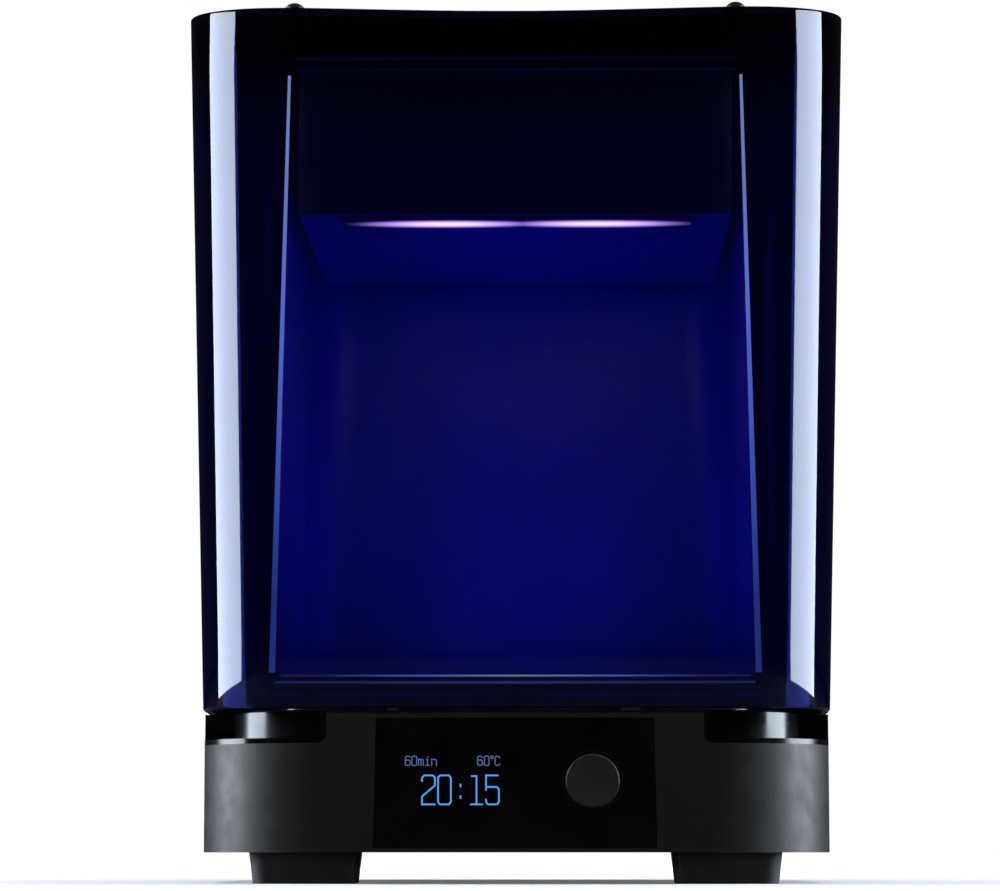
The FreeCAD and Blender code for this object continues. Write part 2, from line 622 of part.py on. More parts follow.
# ---- hood ----
def make_hood_shell():
    outer = hood_block(0.0, HOOD_BOTTOM, HEIGHT + 15.0)
    outer = outer.cut(above_crown(HEIGHT))
    inner = hood_block(WALL, HOOD_BOTTOM - 2.0, HEIGHT + 12.0)
    inner = inner.cut(above_crown(HEIGHT - WALL))
    shell = outer.cut(inner).cut(hinge_pocket(1))
    for x, y in cap_places():
        shell = shell.cut(round_bar(1.6, V(x, y, TOP_PLATE), V(x, y, HEIGHT + 20)))
    for k in range(13):
        slot_x = 8.0 * (k - 6)
        shell = shell.cut(box(slot_x - 1.5, slot_x + 1.5, 115.0, 140.0, 272.0, 304.0))
    return shell


def cap_places():
    return [(x, y) for y in (-115.0, 112.0) for x in (-86.2, 86.2)]


def top_cap(x, y):
    """A dome-headed cap screw that holds the hood to the top plate."""
    seat = crown(x, y, HEIGHT) + 0.55
    dome = Part.makeSphere(4.6, V(x, y, seat + 2.7 - 4.6))
    dome = dome.common(round_bar(3.6, V(x, y, seat), V(x, y, seat + 6)))
    shank = round_bar(1.5, V(x, y, TOP_PLATE), V(x, y, seat + 1))
    spacer = tube(4.0, 1.5, V(x, y, TOP_PLATE + 2.0), V(x, y, crown(x, y, HEIGHT) - WALL - 0.6))
    return dome.fuse(shank), spacer


def window_wire(half_low, half_high, low, high, y):
    corners = [V(-half_low, y, low), V(half_low, y, low), V(half_high, y, high), V(-half_high, y, high)]
    return Part.makePolygon(corners + [corners[0]])


def window_prism(grow, y0, y1):
    wire = window_wire(WINDOW_BOTTOM_HALF + grow, WINDOW_TOP_HALF + grow, WINDOW_BOTTOM - grow,
                       WINDOW_TOP + grow, y0)
    block = Part.Face(wire).extrude(V(0, y1 - y0, 0))
    along = [edge for edge in block.Edges if abs(edge.tangentAt(edge.FirstParameter).y) > 0.9]
    return block.makeFillet(5.0, along)


def make_window_frame():
    """A dark tapered flange round the chamber's window, dished inward like a picture frame."""
    back = FRAME_FRONT + FRAME_DEPTH
    flange = window_prism(FRAME_WIDTH, FRAME_FRONT, back)
    dished = window_prism(FRAME_WIDTH - 1.0, FRAME_FRONT - 1.0, FRAME_FRONT + 1.0)
    return flange.cut(dished).cut(window_prism(0.0, FRAME_FRONT - 1, back + 1.0))


def liner_ring(half, back, corner, z):
    """A U-shaped plan wire, closed across the front, for the chamber liner."""
    front = FRAME_FRONT + FRAME_DEPTH
    bend = corner / math.sqrt(2)
    left_turn = Part.Arc(V(-half, back - corner, z), V(-half + corner - bend, back - corner + bend, z),
                         V(-half + corner, back, z)).toShape()
    right_turn = Part.Arc(V(half - corner, back, z), V(half - corner + bend, back - corner + bend, z),
                          V(half, back - corner, z)).toShape()
    return Part.Wire([
        Part.makeLine(V(-half, front, z), V(-half, back - corner, z)),
        left_turn,
        Part.makeLine(V(-half + corner, back, z), V(half - corner, back, z)),
        right_turn,
        Part.makeLine(V(half, back - corner, z), V(half, front, z)),
        Part.makeLine(V(half, front, z), V(-half, front, z)),
    ])


def make_liner():
    low, high = HOOD_BOTTOM + 4.8, TOP_PLATE - 0.5
    slope = (WINDOW_BOTTOM_HALF - WINDOW_TOP_HALF) / (WINDOW_TOP - WINDOW_BOTTOM)

    def block(grow, z0, z1):
        rings = []
        for z in (z0, z1):
            half = WINDOW_BOTTOM_HALF + 0.4 - slope * (z - WINDOW_BOTTOM) + grow
            rings.append(liner_ring(half, LINER_BACK + grow, LINER_CORNER + grow, z))
        return Part.makeLoft(rings, True, True)

    inner = block(0.0, low - 5, high + 5)
    open_front = box(-150.0, 150.0, -150.0, FRAME_FRONT + FRAME_DEPTH + CLEAR, low - 5, high + 5)
    return block(1.0, low, high).cut(inner).cut(open_front)


def make_hood_frame():
    ring = hood_block(WALL + 0.1, HOOD_BOTTOM + 0.4, HOOD_BOTTOM + 4.4)
    ring = ring.cut(round_box(-93.8, 93.8, -98.5, 96.0, HOOD_BOTTOM - 1, HOOD_BOTTOM + 9, 16.0))
    return ring.cut(hinge_pocket(1))


def make_hood():
    save("hood_shell", make_hood_shell())
    save("hood_frame", make_hood_frame())
    save("window_frame", make_window_frame())
    save("chamber_liner", make_liner())
    plate = round_box(-104.0, 104.0, -119.5, 117.0, TOP_PLATE, TOP_PLATE + 2.0, 14.0)
    plate = plate.cut(round_box(-60.0, 60.0, -60.0, 60.0, TOP_PLATE - 1, TOP_PLATE + 3, 8.0))
    screws = []
    spacers = []
    for x, y in cap_places():
        screw, spacer = top_cap(x, y)
        screws.append(screw)
        spacers.append(spacer)
    for screw in screws:
        plate = plate.cut(screw)
    save("top_plate", joined([plate] + spacers))
    save("top_caps", Part.makeCompound(screws))
    save("lid_magnet", box(-6.0, 6.0, -121.0, -115.5, HOOD_BOTTOM + 4.4, HOOD_BOTTOM + 8.4))


# ---- lamp module in the top of the hood ----
def make_lamp():
    top = TOP_PLATE - 0.5
    case = box(-LAMP_HALF, LAMP_HALF, LAMP_FRONT, LAMP_BACK, LAMP_BOTTOM, top)
    hollow = box(-LAMP_HALF + SHEET, LAMP_HALF - SHEET, LAMP_FRONT + SHEET, LAMP_BACK - SHEET,
                 LAMP_BOTTOM + SHEET, top + 1)
    slot = box(-69.2, 69.2, -103.0, -75.0, LAMP_BOTTOM - 1, LAMP_BOTTOM + 3)
    case = case.cut(hollow).cut(slot)
    for k in range(9):
        slot_x = 7.0 * (k - 4)
        case = case.cut(box(slot_x - 1.5, slot_x + 1.5, LAMP_BACK - 5, LAMP_BACK + 5, 275.0, 305.0))
    driver_z = LAMP_BOTTOM + SHEET + 5.0
    posts = []
    for x in (-36.0, 36.0):
        for y in (-26.0, 36.0):
            posts.append(round_bar(2.5, V(x, y, LAMP_BOTTOM + SHEET), V(x, y, driver_z)))
    save("lamp_case", joined([case] + posts))
    coils = [round_bar(9.0, V(x, 5.0, driver_z + 1.6), V(x, 5.0, driver_z + 13.6)) for x in (-22.0, 22.0)]
    save("lamp_driver_board", joined([box(-40.0, 40.0, -30.0, 40.0, driver_z, driver_z + 1.6)] + coils))

    lens_bottom = LAMP_BOTTOM - 0.8
    lens = round_box(-69.0, 69.0, -102.8, -75.2, lens_bottom, LAMP_BOTTOM + SHEET, 3.0)
    flange = box(-73.0, 73.0, -105.5, -72.0, LAMP_BOTTOM + SHEET, LAMP_BOTTOM + SHEET + 1.2)
    save("lamp_lens", lens.fuse(flange))
    board_z = LAMP_BOTTOM + 9.0
    save("lamp_led_board", box(-74.0, 74.0, -105.0, -73.0, board_z, board_z + 1.6))
    leds = []
    for x in (-60.0, -44.0, -28.0, -12.0, 12.0, 28.0, 44.0, 60.0):
        for y in (-96.0, -82.0):
            leds.append(led_lens(x, y, board_z, -1, 4.0))
    save("lamp_leds", Part.makeCompound(leds))

    sink_z = board_z + 1.6
    sink = box(-74.0, 74.0, -105.0, -60.0, sink_z, sink_z + 4.0)
    fins = []
    for k in range(20):
        fin_x = -73.0 + 7.6 * k
        fins.append(box(fin_x, fin_x + 1.6, -105.0, -60.0, sink_z + 4.0, sink_z + 30.0))
    save("lamp_heatsink", joined([sink] + fins))

    frame_y = 60.0
    fan_z = 290.0
    half = 25.0
    fan = box(-half, half, frame_y, frame_y + 15.0, fan_z - half, fan_z + half)
    fan = fan.cut(round_bar(23.5, V(0, frame_y - 1, fan_z), V(0, frame_y + 16, fan_z)))
    stand = box(-half, half, frame_y, frame_y + 15.0, LAMP_BOTTOM + SHEET, fan_z - half)
    spokes = [stand,
              box(-1.2, 1.2, frame_y + 13.0, frame_y + 15.0, fan_z - 23.8, fan_z + 23.8),
              box(-23.8, 23.8, frame_y + 13.0, frame_y + 15.0, fan_z - 1.2, fan_z + 1.2),
              round_bar(8.0, V(0, frame_y + 13, fan_z), V(0, frame_y + 15, fan_z))]
    save("fan_frame", joined([fan] + spokes))
    save("fan_rotor", axial_rotor(V(0, frame_y + 1.0, fan_z), 11.4))


def axial_rotor(centre, depth):
    """A seven-blade fan wheel turning about the front-to-back axis."""
    back = centre + V(0, depth, 0)
    pieces = [round_bar(9.0, centre, back)]
    blades = 7
    for k in range(blades):
        blade = box(8.0, 22.6, 3.5, 5.0, -7.0, 7.0)
        blade.rotate(V(0, 4.2, 0), RIGHTWARD, 38)
        blade.translate(V(0, 1.5, 0))
        blade.rotate(V(0, 0, 0), BACKWARD, 360.0 * k / blades)
        blade.translate(centre)
        pieces.append(blade)
    return joined(pieces).common(round_bar(22.6, centre, back))


os.makedirs("parts", exist_ok=True)
make_base()
make_seals()
make_controls()
make_electronics()
make_turntable()
make_floor_light()
make_warm_air()
make_hinges()
make_hood()
make_lamp()
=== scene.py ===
import json
import math

import bpy
import bmesh
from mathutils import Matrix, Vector

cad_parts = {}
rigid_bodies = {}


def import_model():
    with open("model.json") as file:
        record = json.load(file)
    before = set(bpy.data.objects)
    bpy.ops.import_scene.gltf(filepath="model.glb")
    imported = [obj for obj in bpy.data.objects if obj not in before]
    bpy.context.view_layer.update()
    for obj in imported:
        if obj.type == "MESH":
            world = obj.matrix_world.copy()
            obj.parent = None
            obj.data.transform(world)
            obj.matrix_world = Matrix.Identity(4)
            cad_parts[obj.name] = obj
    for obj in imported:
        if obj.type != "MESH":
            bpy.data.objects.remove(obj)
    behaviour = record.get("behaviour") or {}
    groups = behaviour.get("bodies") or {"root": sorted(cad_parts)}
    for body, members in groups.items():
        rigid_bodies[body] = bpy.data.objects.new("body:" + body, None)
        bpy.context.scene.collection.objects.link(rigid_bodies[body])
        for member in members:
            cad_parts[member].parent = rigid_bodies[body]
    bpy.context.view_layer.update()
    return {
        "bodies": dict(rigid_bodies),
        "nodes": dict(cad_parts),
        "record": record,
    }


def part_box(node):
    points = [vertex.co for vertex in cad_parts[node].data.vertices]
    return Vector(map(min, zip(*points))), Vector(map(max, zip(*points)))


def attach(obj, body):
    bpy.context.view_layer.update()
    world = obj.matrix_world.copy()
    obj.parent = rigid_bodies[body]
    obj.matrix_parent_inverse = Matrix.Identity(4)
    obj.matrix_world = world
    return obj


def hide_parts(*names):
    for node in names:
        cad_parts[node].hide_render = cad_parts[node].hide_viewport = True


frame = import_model()

# ---- sizes, in metres ----
MM = 0.001
PANEL_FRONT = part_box("display_panel")[0].y
FRAME_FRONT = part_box("window_frame")[0].y
LENS_LOW, LENS_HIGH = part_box("lamp_lens")

# The hood's shape, as the CAD model has it: a square plan with four slightly bowed sides and
# round corners, straight walls that lean outward, and a top that dips across and arches front to back.
HOOD_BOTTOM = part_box("hood_shell")[0].z
CREST_HEIGHT = 338 * MM
BOTTOM_HALF = 125.2 * MM
CREST_HALF = 131.9 * MM
SIDE_BOW = 1600 * MM
CORNER = 48 * MM
WALL = 3 * MM
RIM_DIP = 2.1 * MM
CREST_X = 121 * MM
TOP_ARCH = 7.8 * MM

# The chamber's window, a little wider at its bottom.
WINDOW_BOTTOM = 79.4 * MM
WINDOW_TOP = 317 * MM
WINDOW_BOTTOM_HALF = 93.3 * MM
WINDOW_TOP_HALF = 88 * MM


# ---- materials ----
class Look:
    """A node material with a Principled shader and short helpers for procedural detail."""

    def __init__(self, name, colour, roughness, metallic=0.0):
        self.material = bpy.data.materials.new(name)
        self.material.use_nodes = True
        self.tree = self.material.node_tree
        self.shader = self.tree.nodes["Principled BSDF"]
        self.set("Base Color", (*colour, 1.0))
        self.set("Roughness", roughness)
        self.set("Metallic", metallic)
        self.place = self.node("ShaderNodeTexCoord").outputs["Object"]

    def node(self, kind, **values):
        made = self.tree.nodes.new(kind)
        for key, value in values.items():
            setattr(made, key, value)
        return made

    def link(self, source, target):
        self.tree.links.new(source, target)

    def set(self, socket, value):
        self.shader.inputs[socket].default_value = value

    def drive(self, socket, source):
        self.link(source, self.shader.inputs[socket])

    def span(self, source, start, end, low, high, **values):
        """A number that goes from low to high while the source goes from start to end."""
        span = self.node("ShaderNodeMapRange", **values)
        span.inputs["From Min"].default_value = start
        span.inputs["From Max"].default_value = end
        span.inputs["To Min"].default_value = low
        span.inputs["To Max"].default_value = high
        self.link(source, span.inputs["Value"])
        return span.outputs["Result"]

    def noise(self, scale, detail=3.0, stretch=(1, 1, 1)):
        mapping = self.node("ShaderNodeMapping")
        mapping.inputs["Scale"].default_value = stretch
        self.link(self.place, mapping.inputs["Vector"])
        texture = self.node("ShaderNodeTexNoise")
        texture.inputs["Scale"].default_value = scale
        texture.inputs["Detail"].default_value = detail
        self.link(mapping.outputs["Vector"], texture.inputs["Vector"])
        return texture.outputs["Fac"]

    def ramp(self, source, low, high, start=0.3, end=0.7):
        ramp = self.node("ShaderNodeValToRGB")
        ramp.color_ramp.elements[0].position = start
        ramp.color_ramp.elements[1].position = end
        ramp.color_ramp.elements[0].color = (*low, 1.0)
        ramp.color_ramp.elements[1].color = (*high, 1.0)
        self.link(source, ramp.inputs["Fac"])
        return ramp.outputs["Color"]

    def vary_colour(self, low, high, scale, stretch=(1, 1, 1)):
        self.drive("Base Color", self.ramp(self.noise(scale, stretch=stretch), low, high))

    def vary_roughness(self, low, high, scale, stretch=(1, 1, 1)):
        self.drive("Roughness", self.span(self.noise(scale, stretch=stretch), 0.3, 0.7, low, high))

    def bump(self, scale, depth, strength=0.6, stretch=(1, 1, 1)):
        bump = self.node("ShaderNodeBump")
        bump.inputs["Strength"].default_value = strength
        bump.inputs["Distance"].default_value = depth
        self.link(self.noise(scale, 4.0, stretch), bump.inputs["Height"])
        self.drive("Normal", bump.outputs["Normal"])

    def along(self, axis, near, far, near_value, far_value):
        """A number that goes from near_value at near to far_value at far, by distance from 0 on one axis."""
        split = self.node("ShaderNodeSeparateXYZ")
        self.link(self.place, split.inputs["Vector"])
        size = self.node("ShaderNodeMath", operation="ABSOLUTE")
        self.link(split.outputs[axis], size.inputs[0])
        return self.span(size.outputs[0], near, far, near_value, far_value)

    def glow(self, colour, strength):
        self.set("Emission Color", (*colour, 1.0))
        self.set("Emission Strength", strength)


def moulded(name, dark, light, roughness, grain=1600, depth=0.00012):
    """Fine-grained moulding, such as plastic, rubber, foam, painted metal and circuit board."""
    look = Look(name, light, roughness)
    look.set("Specular Tint", (1.0, 0.93, 0.86, 1.0))
    look.vary_colour(dark, light, 90)
    look.vary_roughness(roughness - 0.06, roughness + 0.08, 140)
    look.bump(grain, depth)
    return look


def brushed(name, dark, light, roughness, stretch):
    """Bare metal, its marks drawn out along the axes where stretch is small."""
    look = Look(name, light, roughness, metallic=1.0)
    look.vary_colour(dark, light, 60, stretch)
    look.vary_roughness(roughness - 0.07, roughness + 0.1, 220, stretch)
    look.bump(700, 0.00003, 0.4, stretch)
    return look


def polished(name, dark, light, roughness):
    """Smooth glass or glossy plastic with slight unevenness."""
    look = Look(name, light, roughness)
    look.vary_colour(dark, light, 30)
    look.vary_roughness(roughness * 0.6, roughness * 1.5, 55)
    look.bump(40, 0.00002, 0.15)
    return look


HOOD_TINT = (0.020, 0.025, 0.170)      # share of red, green and blue light that gets through the hood
PAINTED_HOOD_GLOW = 0.0055                     # strength of the painted blue glow that the hood itself gives off, in place of light scattered in it
PAINTED_GLOW_TOP = (285 * MM, 322 * MM)        # heights between which that painted glow fades out


def seen_through_hood(colour):
    """The colour a light needs inside the hood to have this colour outside it, and its strength."""
    needed = [part / tint for part, tint in zip(colour, HOOD_TINT)]
    strength = max(needed)
    return tuple(part / strength for part in needed), strength


def tinted_hood_look():
    """Deep blue see-through moulding: clear enough to see the lit chamber, dark wherever nothing is lit, but
    for a faint painted blue glow of its own that fades out towards the top.
    """
    look = Look("tinted_hood", HOOD_TINT, 0.012)
    look.vary_colour(tuple(part * 0.94 for part in HOOD_TINT), tuple(part * 1.06 for part in HOOD_TINT), 18)
    look.vary_roughness(0.008, 0.018, 30)
    look.set("Transmission Weight", 1.0)
    look.set("IOR", 1.49)
    # Painted glow: the hood gives off faint blue light low down, though it is no lamp, and it fades out
    # towards the top.
    look.set("Emission Color", (0.0, 0.02, 1.0, 1.0))
    look.drive("Emission Strength", look.along("Z", *PAINTED_GLOW_TOP, PAINTED_HOOD_GLOW, 0.0))
    return look


def liner_look():
    """Reflective sheet that lines the chamber, streaked up and down."""
    look = Look("bright_liner", (0.42, 0.43, 0.50), 0.36, metallic=0.85)
    look.vary_colour((0.34, 0.35, 0.42), (0.50, 0.51, 0.58), 14, (1, 1, 0.25))
    look.vary_roughness(0.30, 0.44, 20, (1, 1, 0.3))
    look.bump(30, 0.0004, 0.25, (1, 1, 0.3))
    return look


HOT_SPOTS = (-27 * MM, 32 * MM)        # places along the lens of its two hottest emitters
HOT_SPOT_REACH = (42 * MM, 11 * MM)    # how far the light of each one spreads along and across the lens


def lens_look():
    """The lamp's frosted lens: violet light that swells at two places and dies away at the ends."""
    look = Look("lit_lens", (0.02, 0.02, 0.03), 0.35)
    middle_y = (LENS_LOW.y + LENS_HIGH.y) / 2
    distances = []
    for centre_x in HOT_SPOTS:
        offset = look.node("ShaderNodeVectorMath", operation="SUBTRACT")
        offset.inputs[1].default_value = (centre_x, middle_y, 0)
        look.link(look.place, offset.inputs[0])
        spread = look.node("ShaderNodeVectorMath", operation="MULTIPLY")
        spread.inputs[1].default_value = (1 / HOT_SPOT_REACH[0], 1 / HOT_SPOT_REACH[1], 0)
        look.link(offset.outputs["Vector"], spread.inputs[0])
        length = look.node("ShaderNodeVectorMath", operation="LENGTH")
        look.link(spread.outputs["Vector"], length.inputs[0])
        distances.append(length.outputs["Value"])
    nearest = look.node("ShaderNodeMath", operation="MINIMUM")
    look.link(distances[0], nearest.inputs[0])
    look.link(distances[1], nearest.inputs[1])
    distance = nearest.outputs[0]
    hot, strength = seen_through_hood((1.30, 1.00, 1.30))
    faint = seen_through_hood((0.22, 0.10, 0.55))[0]
    fading = look.span(distance, 0.0, 1.0, strength, 0.0, interpolation_type="SMOOTHSTEP")
    look.drive("Emission Strength", fading)
    look.drive("Emission Color", look.ramp(distance, hot, faint, 0.10, 0.90))
    return look


def painted_highlight_look(name, axis, near, far, near_colour, far_colour):
    """A bead glow that paints a highlight along an edge, going from near to far on one axis, with its colours
    as seen from outside.
    """
    look = Look(name, (0.010, 0.013, 0.042), 0.22)
    look.vary_roughness(0.18, 0.30, 60)
    near_glow, near_strength = seen_through_hood(near_colour)
    far_glow, far_strength = seen_through_hood(far_colour)
    share = look.along(axis, near, far, 0.0, 1.0)
    look.drive("Emission Color", look.ramp(share, near_glow, far_glow, 0.0, 1.0))
    look.drive("Emission Strength", look.along(axis, near, far, near_strength, far_strength))
    return look


def clear_look(name, colour):
    look = polished(name, tuple(0.92 * part for part in colour), colour, 0.04)
    look.set("Transmission Weight", 1.0)
    look.set("IOR", 1.5)
    return look


def board_look(name, dark, light):
    return moulded(name, dark, light, 0.38, 900, 0.00008)


LOOKS = {
    "tinted_hood": tinted_hood_look(),
    "base_plastic": moulded("base_plastic", (0.0190, 0.0180, 0.0164), (0.0240, 0.0228, 0.0208), 0.44),
    "black_frame": moulded("black_frame", (0.004, 0.004, 0.008), (0.008, 0.008, 0.014), 0.42, 1200, 0.00006),
    "gloss_black": polished("gloss_black", (0.0010, 0.0010, 0.0011), (0.0020, 0.0020, 0.0022), 0.20),
    "screen_glass": polished("screen_glass", (0.003, 0.004, 0.008), (0.006, 0.008, 0.014), 0.06),
    "board_green": board_look("board_green", (0.012, 0.075, 0.035), (0.020, 0.110, 0.050)),
    "satin_steel": brushed("satin_steel", (0.42, 0.42, 0.43), (0.60, 0.60, 0.61), 0.28, (1, 1, 14)),
    "black_plastic": moulded("black_plastic", (0.012, 0.012, 0.013), (0.020, 0.020, 0.022), 0.45),
    "knob_grey": moulded("knob_grey", (0.032, 0.032, 0.032), (0.040, 0.040, 0.040), 0.42, 2400, 0.00004),
    "knob_trim": polished("knob_trim", (0.006, 0.006, 0.007), (0.012, 0.012, 0.013), 0.16),
    "black_steel": moulded("black_steel", (0.016, 0.016, 0.017), (0.026, 0.026, 0.028), 0.50, 700, 0.0001),
    "foot_rubber": moulded("foot_rubber", (0.052, 0.052, 0.053), (0.066, 0.066, 0.067), 0.60, 1100, 0.0001),
    "foam_seal": moulded("foam_seal", (0.008, 0.008, 0.008), (0.018, 0.018, 0.018), 0.85, 900, 0.0003),
    "bright_sheet": liner_look(),
    "bronze": brushed("bronze", (0.42, 0.26, 0.12), (0.58, 0.38, 0.18), 0.32, (1, 1, 6)),
    "table_glass": clear_look("table_glass", (0.75, 0.90, 0.95)),
    "led_board": board_look("led_board", (0.66, 0.66, 0.64), (0.78, 0.78, 0.76)),
    "lens_clear": clear_look("lens_clear", (0.92, 0.92, 1.0)),
    "heatsink": brushed("heatsink", (0.45, 0.46, 0.48), (0.62, 0.63, 0.65), 0.36, (12, 1, 1)),
    "hinge_metal": moulded("hinge_metal", (0.014, 0.014, 0.015), (0.022, 0.022, 0.024), 0.38, 900, 0.00008),
}


def dress_cad_nodes():
    """Each CAD node takes its slot's look, but for the lit lens and the lamp's case."""
    special = {"lamp_lens": lens_look(), "lamp_case": LOOKS["bright_sheet"]}
    for part in frame["record"]["subparts"]:
        piece = frame["nodes"][part["node"]]
        look = special.get(part["node"], LOOKS[part["material_slot"]])
        piece.data.materials.clear()
        piece.data.materials.append(look.material)


# ---- mesh helpers ----
def make_piece(name, vertices, faces, look, body, smooth=True):
    """A new piece with its faces turned outward, on a body."""
    mesh = bpy.data.meshes.new(name)
    mesh.from_pydata(vertices, [], faces)
    mesh.validate()
    work = bmesh.new()
    work.from_mesh(mesh)
    bmesh.ops.remove_doubles(work, verts=work.verts, dist=1e-7)
    bmesh.ops.recalc_face_normals(work, faces=work.faces)
    work.to_mesh(mesh)
    work.free()
    for face in mesh.polygons:
        face.use_smooth = smooth
    mesh.materials.append(look.material)
    piece = bpy.data.objects.new(name, mesh)
    bpy.context.scene.collection.objects.link(piece)
    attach(piece, body)
    return piece


# ---- hood ----
SIDE_STEPS = 36               # points along each side of the plan
TURN_STEPS = 26               # and round each corner
WALL_STEPS = 12               # rings up each wall
BEVEL = 1.0 * MM              # rounding of the hood's outer edges


def plan(half, corner):
    """Points round the plan at one height, from the front left, as the CAD model's outline has them."""
    bow_centre = SIDE_BOW - half
    reach = SIDE_BOW - corner
    corner_centre = (math.sqrt(2 * reach ** 2 - bow_centre ** 2) - bow_centre) / 2
    turn_start = math.asin(corner_centre / reach)
    front = []
    for step in range(SIDE_STEPS):
        angle = turn_start * (2 * step / SIDE_STEPS - 1)
        front.append((SIDE_BOW * math.sin(angle), bow_centre - SIDE_BOW * math.cos(angle)))
    for step in range(TURN_STEPS):
        angle = turn_start + (math.pi / 2 - 2 * turn_start) * step / TURN_STEPS
        front.append((corner_centre + corner * math.sin(angle), -corner_centre - corner * math.cos(angle)))
    points = []
    for _ in range(4):
        points += front
        front = [(-y, x) for x, y in front]
    return points


def crown(x, y):
    """Height of the hood's top."""
    dip = RIM_DIP / 2 * (1 + math.cos(math.pi * min(abs(x) / CREST_X, 1.0)))
    return CREST_HEIGHT - dip + TOP_ARCH * (1 - (y / CREST_HALF) ** 2)


class Wall:
    """One skin of the hood, inset from the outside, with a straight lean from bottom to crest."""

    def __init__(self, inset):
        self.low = plan(BOTTOM_HALF - inset, CORNER - inset)
        self.high = plan(CREST_HALF - inset, CORNER - inset)

    def at(self, index, z):
        rise = (z - HOOD_BOTTOM) / (CREST_HEIGHT - HOOD_BOTTOM)
        (x0, y0), (x1, y1) = self.low[index], self.high[index]
        return x0 + (x1 - x0) * rise, y0 + (y1 - y0) * rise

    def rim(self, index, drop):
        """Where the skin meets a surface that lies drop below the hood's top."""
        z = CREST_HEIGHT
        for _ in range(4):
            x, y = self.at(index, z)
            z = crown(x, y) - drop
        return x, y, z

    def ring(self, share, drop):
        """Points at one share of the way from the bottom to the rim."""
        points = []
        for index in range(len(self.low)):
            z = HOOD_BOTTOM + share * (self.rim(index, drop)[2] - HOOD_BOTTOM)
            points.append((*self.at(index, z), z))
        return points

    def level(self, z):
        return [(*self.at(index, z), z) for index in range(len(self.low))]

    def rims(self, drop):
        return [self.rim(index, drop) for index in range(len(self.low))]


def roof_rings(edge, drop, steps=12):
    """Rings that shrink from the rim to the middle of the top."""
    rings = []
    for step in range(1, steps):
        scale = 1 - step / steps
        rings.append([(x * scale, y * scale, crown(x * scale, y * scale) - drop) for x, y, _ in edge])
    return rings


def hood_rings():
    """All rings, from the middle of the ceiling down the inside, then up the outside to the top."""
    outer, inner = Wall(0), Wall(WALL)
    ceiling = inner.rims(WALL)
    rings = list(reversed(roof_rings(ceiling, WALL))) + [ceiling]
    rings += [inner.ring(1 - step / WALL_STEPS, WALL) for step in range(1, WALL_STEPS)]
    rings.append(inner.level(HOOD_BOTTOM))
    turns = [math.radians(angle) for angle in (0, 22.5, 45, 67.5, 90)]
    for turn in turns:
        skin = Wall(BEVEL * (1 - math.sin(turn)))
        rings.append(skin.level(HOOD_BOTTOM + BEVEL * (1 - math.cos(turn))))
    rings += [outer.ring(step / WALL_STEPS, BEVEL) for step in range(1, WALL_STEPS)]
    for turn in turns:
        skin = Wall(BEVEL * (1 - math.cos(turn)))
        rings.append(skin.rims(BEVEL * (1 - math.sin(turn))))
    return rings + roof_rings(rings[-1], 0.0)


def skin_over(rings):
    """Quads between rings, and a fan at each end."""
    vertices = [point for ring in rings for point in ring]
    count = len(rings[0])
    faces = []
    for ring in range(len(rings) - 1):
        for step in range(count):
            after = (step + 1) % count
            low, high = ring * count, (ring + 1) * count
            faces.append((low + step, low + after, high + after, high + step))
    for ring, drop in ((0, WALL), (len(rings) - 1, 0.0)):
        middle = len(vertices)
        vertices.append((0, 0, crown(0, 0) - drop))
        for step in range(count):
            faces.append((ring * count + step, ring * count + (step + 1) % count, middle))
    return vertices, faces


def block_mesh(blocks):
    """One mesh of boxes, each given by two opposite corners in millimetres."""
    vertices = []
    faces = []
    for low, high in blocks:
        first = len(vertices)
        for z in (low[2], high[2]):
            for x, y in ((low[0], low[1]), (high[0], low[1]), (high[0], high[1]), (low[0], high[1])):
                vertices.append((x * MM, y * MM, z * MM))
        for face in ((0, 3, 2, 1), (4, 5, 6, 7), (0, 1, 5, 4), (1, 2, 6, 5), (2, 3, 7, 6), (3, 0, 4, 7)):
            faces.append(tuple(first + corner for corner in face))
    return vertices, faces


# The hood's openings, in millimetres.
VENT_SLOTS = 13
VENT_SPACING = 8
VENT_WIDTH = 3
VENT_HEIGHTS = (272, 304)
ARM_GAP = 0.3                 # room left round each hinge arm
BEFORE_BACK = 115             # y in front of the hood's back wall
BEHIND_BACK = 140             # y behind it
BELOW_HOOD = 60               # z below the hood's lower edge


def hood_openings():
    """The rear vent slots, and the pockets that the two hinge arms stand in."""
    blocks = []
    for slot in range(VENT_SLOTS):
        middle = VENT_SPACING * (slot - (VENT_SLOTS - 1) / 2)
        low = (middle - VENT_WIDTH / 2, BEFORE_BACK, VENT_HEIGHTS[0])
        high = (middle + VENT_WIDTH / 2, BEHIND_BACK, VENT_HEIGHTS[1])
        blocks.append((low, high))
    for name in ("hinge_arm_left", "hinge_arm_right"):
        low, high = (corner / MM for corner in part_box(name))
        blocks.append(((low.x - ARM_GAP, low.y - ARM_GAP, BELOW_HOOD),
                       (high.x + ARM_GAP, BEHIND_BACK, high.z + ARM_GAP)))
    return blocks


def mark_sharp(mesh, degrees):
    """Smooth shading, but for the edges that bend by more than so many degrees."""
    work = bmesh.new()
    work.from_mesh(mesh)
    for edge in work.edges:
        edge.smooth = len(edge.link_faces) == 2 and edge.calc_face_angle() < math.radians(degrees)
    for face in work.faces:
        face.smooth = True
    work.to_mesh(mesh)
    work.free()


def cut(piece, blocks):
    """Cuts boxes out of a piece and leaves plain mesh."""
    mesh = bpy.data.meshes.new("cutter")
    vertices, faces = block_mesh(blocks)
    mesh.from_pydata(vertices, [], faces)
    cutter = bpy.data.objects.new("cutter", mesh)
    bpy.context.scene.collection.objects.link(cutter)
    modifier = piece.modifiers.new("cut", "BOOLEAN")
    modifier.operation = "DIFFERENCE"
    modifier.solver = "EXACT"
    modifier.object = cutter
    bpy.context.view_layer.update()
    result = bpy.data.meshes.new_from_object(piece.evaluated_get(bpy.context.evaluated_depsgraph_get()))
    piece.modifiers.clear()
    piece.data = result
    bpy.data.objects.remove(cutter)


